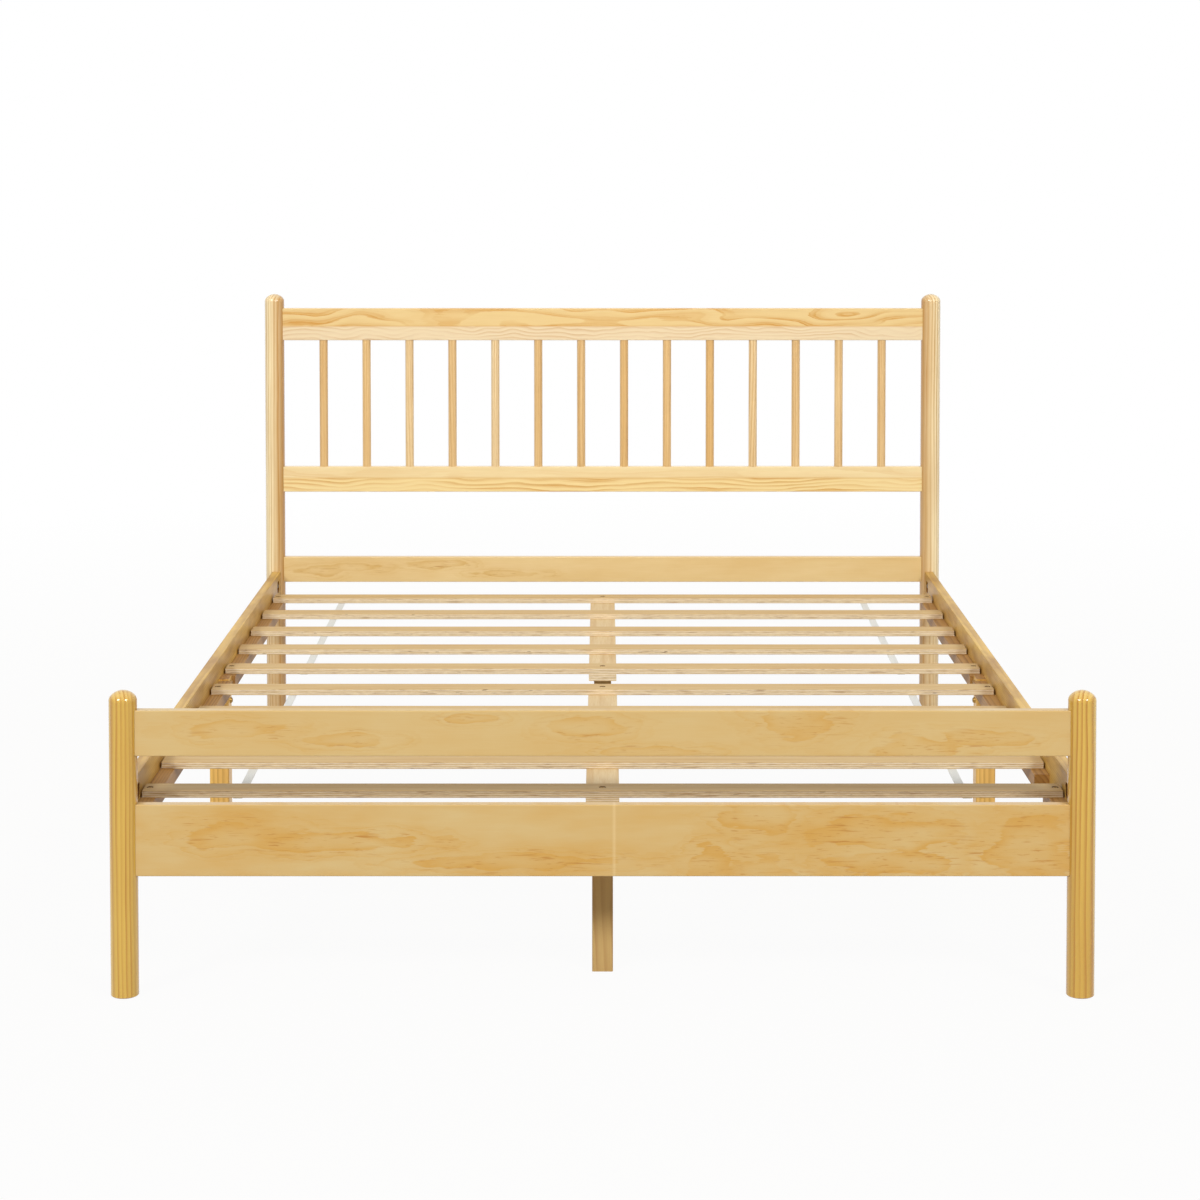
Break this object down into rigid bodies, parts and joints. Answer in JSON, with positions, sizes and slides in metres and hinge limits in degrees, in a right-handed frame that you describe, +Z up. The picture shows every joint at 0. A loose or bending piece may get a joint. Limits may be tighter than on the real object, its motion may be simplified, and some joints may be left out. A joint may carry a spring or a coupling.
{
  "type": "spindle bed frame",
  "caption": "Wooden double bed frame: round domed posts, flat rails, a headboard gallery of turned spindles, and strapped slats on ledgers with a legged centre board.",
  "frame": {"origin": "middle of the footprint on the floor", "axes": "+X across the bed to the right seen from the foot, +Y from the foot to the head, +Z up"},
  "size_m": [1.612, 2.1309, 1.014],
  "materials": {
    "pine_turned": "clear satin lacquer",
    "pine_spindle": "clear satin lacquer",
    "pine_glued_rail": "clear satin lacquer",
    "pine_flat_rail": "clear satin lacquer",
    "pine_side_rail": "clear satin lacquer",
    "pine_batten": "planed",
    "pine_leg": "planed",
    "plywood": "sanded",
    "webbing": "woven",
    "zinc_plated_steel": "zinc plated"
  },
  "bodies": {
    "root": {"head_post_left": "pine_turned", "head_post_right": "pine_turned", "foot_post_left": "pine_turned", "foot_post_right": "pine_turned", "spindle_01": "pine_spindle", "spindle_02": "pine_spindle", "spindle_03": "pine_spindle", "spindle_04": "pine_spindle", "spindle_05": "pine_spindle", "spindle_06": "pine_spindle", "spindle_07": "pine_spindle", "spindle_08": "pine_spindle", "spindle_09": "pine_spindle", "spindle_10": "pine_spindle", "spindle_11": "pine_spindle", "spindle_12": "pine_spindle", "spindle_13": "pine_spindle", "spindle_14": "pine_spindle", "head_top_rail": "pine_glued_rail", "head_spindle_rail": "pine_glued_rail", "head_base_rail": "pine_flat_rail", "foot_top_rail": "pine_flat_rail", "foot_base_rail": "pine_flat_rail", "side_rail_left": "pine_side_rail", "side_rail_right": "pine_side_rail", "ledger_left_front": "pine_batten", "ledger_left_rear": "pine_batten", "ledger_right_foot": "pine_batten", "ledger_right_front": "pine_batten", "ledger_right_rear": "pine_batten", "mid_leg_left": "pine_leg", "mid_leg_right": "pine_leg", "centre_leg_1": "pine_leg", "centre_leg_2": "pine_leg", "centre_leg_3": "pine_leg", "centre_leg_4": "pine_leg", "slat_01": "plywood", "slat_02": "plywood", "slat_03": "plywood", "slat_04": "plywood", "slat_05": "plywood", "slat_06": "plywood", "slat_07": "plywood", "slat_08": "plywood", "slat_09": "plywood", "slat_10": "plywood", "centre_board_head": "plywood", "centre_board_foot": "plywood", "slat_straps_head": "webbing", "slat_straps_foot": "webbing", "hanger_bolts": "zinc_plated_steel", "half_moon_washers": "zinc_plated_steel", "hanger_nuts": "zinc_plated_steel", "mid_leg_bolts": "zinc_plated_steel"}
  },
  "joints": []
}
